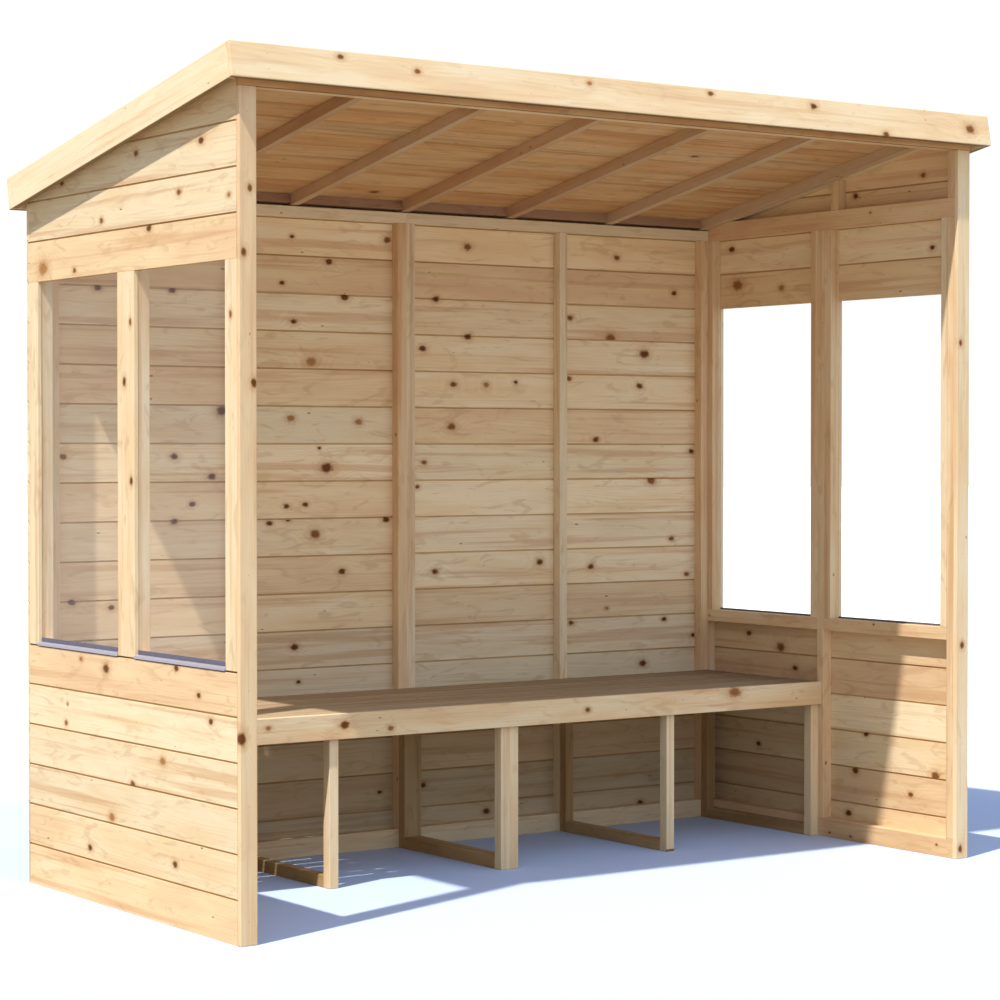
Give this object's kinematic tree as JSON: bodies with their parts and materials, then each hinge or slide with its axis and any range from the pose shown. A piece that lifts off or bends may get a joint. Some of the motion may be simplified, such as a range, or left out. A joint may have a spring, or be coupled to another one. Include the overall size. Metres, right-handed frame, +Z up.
{
  "type": "garden arbor",
  "caption": "Open-fronted timber garden arbor with a sloping pent roof, boarded walls, tall side windows and a full-width bench.",
  "frame": {"origin": "on the ground, under the middle of the overall bounding box", "axes": "+Z up; -Y is the open front; +X runs along the bench from the left wall to the right wall as seen from the front"},
  "size_m": [2.586, 1.2912, 2.221],
  "materials": {
    "wall_board": "planed softwood boards, pale and untreated",
    "roof_board": "planed softwood boards, seen in shade",
    "seat_board": "planed softwood boards",
    "frame_timber": "sawn and planed softwood battens",
    "trim_board": "planed softwood boards with small knots",
    "pane": "clear glazing sheet, slightly hazy",
    "drip_strip": "thin grey-blue angle strip",
    "felt": "mineral roofing felt"
  },
  "bodies": {
    "root": {"left_lower_cladding": "wall_board", "left_window_strips": "wall_board", "left_upper_cladding": "wall_board", "left_studs": "frame_timber", "left_rails": "frame_timber", "left_gable_rail": "frame_timber", "left_gable_studs": "frame_timber", "left_window_panes": "pane", "left_drip_strips": "drip_strip", "left_front_trim": "trim_board", "right_lower_cladding": "wall_board", "right_window_strips": "wall_board", "right_upper_cladding": "wall_board", "right_studs": "frame_timber", "right_rails": "frame_timber", "right_gable_rail": "frame_timber", "right_gable_studs": "frame_timber", "right_window_panes": "pane", "right_drip_strips": "drip_strip", "right_front_trim": "trim_board", "back_cladding_left": "wall_board", "back_cladding_right": "wall_board", "back_studs": "frame_timber", "back_bottom_rails": "frame_timber", "back_top_rails": "frame_timber", "front_beam": "frame_timber", "front_beam_trim": "trim_board", "rafters": "frame_timber", "rafter_blocking": "frame_timber", "roof_boards": "roof_board", "roof_felt": "felt", "front_fascia": "trim_board", "back_fascia": "trim_board", "left_barge_board": "trim_board", "right_barge_board": "trim_board", "bench_seat_boards": "seat_board", "bench_apron": "trim_board", "bench_front_legs": "frame_timber", "bench_back_legs": "frame_timber", "bench_foot_rails": "frame_timber", "bench_top_rails": "frame_timber"}
  },
  "joints": []
}
